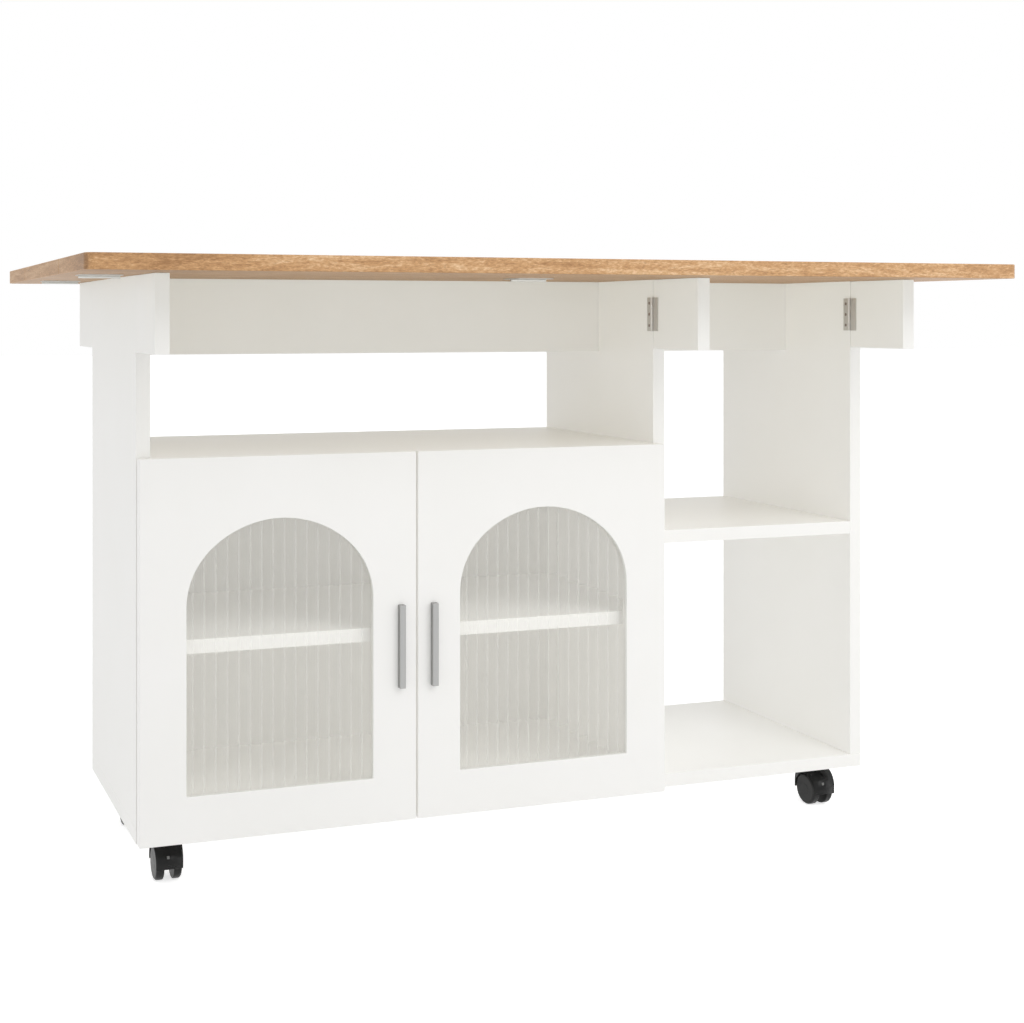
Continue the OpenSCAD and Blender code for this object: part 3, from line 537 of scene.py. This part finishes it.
# Door hinges --------------------------------------------------------------------------------
# Concealed hinges: a pressed cup in the door, and an arm on a plate inside the panel.
# They show only when a door is open, and keep their solids, as do the soft bumpers that the doors close on.
for node in ("left_hinge_cups", "right_hinge_cups", "door_hinge_arms"):
    give_finish(node, hinge_steel)
give_finish("door_bumpers", laminate_finish("soft_bumper", (0.8, 0.8, 0.78), 0.3))


# Caster wheels -----------------------------------------------------------------------------------
# Two moulded black plastic wheels turn on each caster's axle, either side of the hood's middle web.
# A wheel is its own section turned about the axle, with a shallow round cap in its outer face.
def moulded_finish(name, colour, rough):
    """Moulded black plastic: a faint orange peel from a fine noise, and slightly uneven gloss."""
    material, net, shader, place = new_finish(name)
    shader.inputs["Base Color"].default_value = (*colour, 1)
    shader.inputs["Specular IOR Level"].default_value = 0.22
    wear = noise(net, place, 60)
    net.links.new(stretch(net, wear, rough - 0.06, rough + 0.08), shader.inputs["Roughness"])
    relief(net, noise(net, place, 1200), shader, 0.08, 0.0002)
    return material


def turned(name, section, centre, way, steps=96):
    """A solid of revolution about X. The section holds radius, distance along the axle and rounding at each corner,
    from the bore round the tread and back, and closes on itself. Normals follow the section's own line."""
    section = np.asarray(section, float)
    line, out = eased_outline(section[:, :2], section[:, 2])
    angle = np.linspace(0, 2 * math.pi, steps, endpoint=False)
    radius, along = line[:, 0], line[:, 1]
    points = np.stack([np.broadcast_to(centre[0] + way * along, (steps, len(line))),
                       centre[1] + np.cos(angle)[:, None] * radius, centre[2] + np.sin(angle)[:, None] * radius], -1)
    normals = np.stack([np.broadcast_to(way * out[:, 1], (steps, len(line))),
                        np.cos(angle)[:, None] * out[:, 0], np.sin(angle)[:, None] * out[:, 0]], -1)
    if way > 0:
        points, normals = points[::-1], normals[::-1]
    return skin(name, points, normals, wrap=True)


def round_bar(name, centre, radius, start, end, ease, steps=48):
    """A short solid bar or disc along X: a circle carried from start to end, with eased rims and closed ends."""
    angle = np.linspace(0, 2 * math.pi, steps, endpoint=False)
    out = np.stack([np.cos(angle), np.sin(angle)], 1)
    return cut_board(name, (out * radius + centre, out), min(start, end), max(start, end), ease, axis=0)


wheel_black = moulded_finish("wheel_black", (0.014, 0.014, 0.0137), 0.34)
wheel_r, wheel_bore_r, wheel_wide, cap_r, cap_in, cap_out = 0.025, 0.00305, 0.0122, 0.009, 0.0108, 0.0124
# radius, distance from the wheel's inner face and rounding at each corner
wheel_section = [(wheel_bore_r, 0, 0.0003), (wheel_r, 0, 0.0015), (wheel_r, wheel_wide, 0.0040),
                 (wheel_bore_r, wheel_wide, 0.0003)]
caster_places = ("front_left", "front_right", "back_left", "back_right")

for place in caster_places:
    for side, way in (("left", -1), ("right", 1)):
        node = f"caster_wheel_{place}_{side}"
        low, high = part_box(node)
        inner = high[0] if way < 0 else low[0]
        centre = ((low[1] + high[1]) / 2, wheel_r)
        wheel = turned(node + "_piece", wheel_section, (inner, *centre), way)
        cap = round_bar(node + "_cap", centre, cap_r, inner + way * cap_in, inner + way * cap_out, 0.0003)
        for piece in (wheel, cap):
            piece.data.materials.append(wheel_black)
            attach(piece, f"wheel_{place}_{side}")
        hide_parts(node)

# Caster hoods -------------------------------------------------------------------------------------
# The moulded body of a caster, which swivels on a stem in a steel plate screwed under the base. A fender bends over
# both wheels, a web between them carries the axle, and a grey tab in the fender's square window works the lock.
give_finish("caster_plates", bright_steel)
give_finish("caster_screws", bright_steel)
hood_black = moulded_finish("hood_black", (0.009, 0.009, 0.0088), 0.24)
tab_grey = moulded_finish("tab_grey", (0.20, 0.20, 0.195), 0.4)
well_r, fender_r, fender_rise, fender_ease = 0.0263, 0.029, 0.010, 0.0026
body_front, body_back, body_foot, body_corner_r = 0.006, 0.027, 0.01, 0.005
# how far fender and web reach round under the axle's height, in degrees
fender_under, web_under = 4.9, 5
web_r, web_half, axle_r, axle_end_gap = 0.0275, 0.0063, 0.003, 0.004
# the pressed window and the hole over it: place across, height over the axle, half size, depth and rim's steepness
window_across, window_up, window_half, window_tall, window_deep, window_rim = -0.002, 0.0146, 0.0036, 0.0034, 0.0020, 5
hole_up, hole_r, hole_deep, hole_rim = 0.0285, 0.0030, 0.0022, 4
# the tab behind the window, from the axle and from the hood's middle
tab_front, tab_rear, tab_foot, tab_head, tab_left, tab_right = 0.0275, 0.026, 0.0124, 0.0168, 0.0045, 0.0006


def mould_hood(place):
    """The fender is a box section carried round the axle. Its outer radius at each angle is the farther of a stadium
    and of the raised body's rounded box, less a pressed square and a round hole in front. The press is
    depth * steepness * (1 - distance / size), from nothing up to its full depth, which makes a soft rim. Returns the
    pieces: fender, web, axle and the lock's grey tab."""
    name = "caster_hood_" + place
    low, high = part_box(name)
    wheel_low, wheel_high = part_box(f"caster_wheel_{place}_left")
    centre = np.array([(wheel_low[1] + wheel_high[1]) / 2, wheel_r])
    middle, half, top = (low[0] + high[0]) / 2, (high[0] - low[0]) / 2, high[2] - wheel_r
    angle = np.radians(np.linspace(-fender_under, 180 + fender_under, 240))
    stadium = eased_outline(rectangle((-fender_r, -fender_r), (fender_r, fender_r + fender_rise)),
                            fender_r - 0.0001, 24)
    stadium = seen_from((0, 0), stadium, angle)[0]
    raised = eased_outline(rectangle((-body_front, -body_foot), (body_back, top)), body_corner_r, 6)
    raised = seen_from((0, 0), raised, angle)[0]
    farther = (np.linalg.norm(raised, axis=1) > np.linalg.norm(stadium, axis=1))[:, None]
    radial = np.stack([np.cos(angle), np.sin(angle)], 1)
    reach = (np.where(farther, raised, stadium) * radial).sum(1)
    # round the section: up the left edge, across the outer face, down the right edge, back inside
    turn = np.radians(np.linspace(0, 90, 6))
    corner = half - fender_ease
    flat = np.linspace(-corner, corner, 64)[1:-1]
    across = np.concatenate([-corner - fender_ease * np.cos(turn), flat, corner + fender_ease * np.sin(turn),
                             [half, -half]])
    drop = np.concatenate([fender_ease * (1 - np.sin(turn)), np.zeros(len(flat)), fender_ease * (1 - np.cos(turn)),
                           [0, 0]])
    inside = np.arange(len(across)) >= len(across) - 2
    radius = np.where(inside, well_r, reach[:, None] - drop)
    up = radius * radial[:, 1:2]
    aside = np.abs(across - window_across)
    window = np.maximum(aside / window_half, np.abs(up - window_up) / window_tall)
    hole = np.hypot(aside, up - hole_up) / hole_r
    press = window_deep * np.clip((1 - window) * window_rim, 0, 1) + hole_deep * np.clip((1 - hole) * hole_rim, 0, 1)
    radius = radius - np.where((radial[:, 0:1] < 0) & ~inside, press, 0)
    points = np.stack([np.broadcast_to(middle + across, radius.shape), centre[0] + radius * radial[:, 0:1],
                       centre[1] + radius * radial[:, 1:2]], -1)[::-1]
    fender = skin(name + "_piece", points, points - [middle, centre[0], centre[1]])
    # smooth shading, broken where the rim of the window and the hole turns sharply
    fender.data.normals_split_custom_set([(0, 0, 0)] * len(fender.data.loops))
    fender.data.set_sharp_from_angle(angle=math.radians(38))
    # a half disc, cut level a little under the axle
    arc = np.radians(np.linspace(-web_under, 180 + web_under, 60))
    out = np.stack([np.cos(arc), np.sin(arc)], 1)
    line = np.concatenate([out, out[-1:], out[:1]]) * web_r + centre
    web = cut_board(name + "_web", (line, np.concatenate([out, [(0, -1), (0, -1)]])),
                    middle - web_half, middle + web_half, 0.0004, axis=0)
    axle = round_bar(name + "_axle", centre, axle_r, middle - half + axle_end_gap, middle + half - axle_end_gap,
                     0.0003)
    tab = eased_outline(rectangle((centre[0] - tab_front, centre[1] + tab_foot),
                                  (centre[0] - tab_rear, centre[1] + tab_head)), 0.0003)
    tab = cut_board(name + "_tab", tab, middle - tab_left, middle - tab_right, 0.0003, axis=0)
    return fender, web, axle, tab


for place in caster_places:
    for piece, finish in zip(mould_hood(place), (hood_black, hood_black, bright_steel, tab_grey)):
        piece.data.materials.append(finish)
        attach(piece, "caster_" + place)
        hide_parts("caster_hood_" + place)

# Floor and studio ------------------------------------------------------------------------------------
# A plain white studio: floor and backdrop show white to the camera, to gloss and through the glass, and the floor
# keeps the soft shadow under the casters. Other rays meet a grey dome, which lights the object evenly.
seen_rays = ("Is Camera Ray", "Is Glossy Ray", "Is Transmission Ray")
floor_half, floor_lift, dome_strength = 30, 0.62, 0.65

mesh = bpy.data.meshes.new("floor")
mesh.from_pydata([(x, y, 0) for x, y in rectangle((-floor_half, -floor_half), (floor_half, floor_half))],
                 [], [(0, 1, 2, 3)])
floor = bpy.data.objects.new("floor", mesh)
bpy.context.scene.collection.objects.link(floor)
material, net, shader, _ = new_finish("floor_white")
shader.inputs["Base Color"].default_value = (0.88, 0.88, 0.88, 1)
shader.inputs["Roughness"].default_value = 0.9
shader.inputs["Specular IOR Level"].default_value = 0.1
shader.inputs["Emission Color"].default_value = (1, 1, 1, 1)
lift = net.nodes.new("ShaderNodeMath")
lift.operation = "MULTIPLY"
lift.inputs[1].default_value = floor_lift
net.links.new(from_ray(net, *seen_rays), lift.inputs[0])
net.links.new(lift.outputs["Value"], shader.inputs["Emission Strength"])
mesh.materials.append(material)

world = bpy.data.worlds.new("studio")
bpy.context.scene.world = world
world.use_nodes = True
net = world.node_tree
dome = net.nodes["Background"]
backdrop = net.nodes.new("ShaderNodeBackground")
for sky, strength in ((dome, dome_strength), (backdrop, 1)):
    sky.inputs["Color"].default_value = (1, 1, 1, 1)
    sky.inputs["Strength"].default_value = strength
choose = net.nodes.new("ShaderNodeMixShader")
net.links.new(from_ray(net, *seen_rays), choose.inputs["Fac"])
net.links.new(dome.outputs["Background"], choose.inputs[1])
net.links.new(backdrop.outputs["Background"], choose.inputs[2])
net.links.new(choose.outputs["Shader"], net.nodes["World Output"].inputs["Surface"])


# Lamps and camera --------------------------------------------------------------------------------------
# Two large softboxes light the front and the right side, and two weak fills stand for the studio's white walls.
# The camera stands where the photograph's two vanishing points and the floor contact of the casters put it.
def hang_lamp(name, light, away):
    """The lamp shines against the direction away, which its own Z axis is turned to."""
    lamp = bpy.data.objects.new(name, light)
    bpy.context.scene.collection.objects.link(lamp)
    away = away / np.linalg.norm(away)
    lamp.rotation_euler = (math.acos(away[2]), 0, math.atan2(away[0], -away[1]))
    return lamp


softbox_side, softbox_aim = 2.6, (0, 0, 0.45)


def softbox(name, place, power):
    light = bpy.data.lights.new(name, "AREA")
    light.shape = "RECTANGLE"
    light.size = light.size_y = softbox_side
    light.energy = power
    hang_lamp(name, light, np.array(place) - softbox_aim).location = place


def fill(name, toward, strength):
    """A weak even fill without shadows."""
    light = bpy.data.lights.new(name, "SUN")
    light.energy = strength
    light.angle = 0.5
    light.use_shadow = False
    light.cycles.cast_shadow = False
    hang_lamp(name, light, np.array(toward, float))


softbox("key_softbox", (1.18, -3.24, 3.34), 50)
softbox("side_softbox", (3.76, -2.17, 1.62), 17)
fill("top_fill", (0, 0, 1), 0.16)
fill("left_fill", (-1, -0.3, 0.1), 0.31)

# the photograph's size, its focal length and the point that it looks straight at, in pixels
wide, tall, focal_pixels, axis_u, horizon_v = 1024, 1023, 1509.06, 320, 317.57
camera = bpy.data.objects.new("camera", bpy.data.cameras.new("camera"))
bpy.context.scene.collection.objects.link(camera)
camera.data.sensor_fit = "HORIZONTAL"
camera.data.sensor_width = 36
camera.data.lens = camera.data.sensor_width * focal_pixels / wide
camera.data.shift_x = (wide / 2 - axis_u) / wide
camera.data.shift_y = (horizon_v - tall / 2) / wide
camera.data.clip_end = 100
camera.location = (-1.03633, -2.33272, 0.82893)
camera.rotation_euler = (math.radians(90), 0, math.radians(-17.98))
bpy.context.scene.camera = camera
bpy.context.scene.view_settings.view_transform = "Standard"
bpy.context.scene.cycles.diffuse_bounces = 8
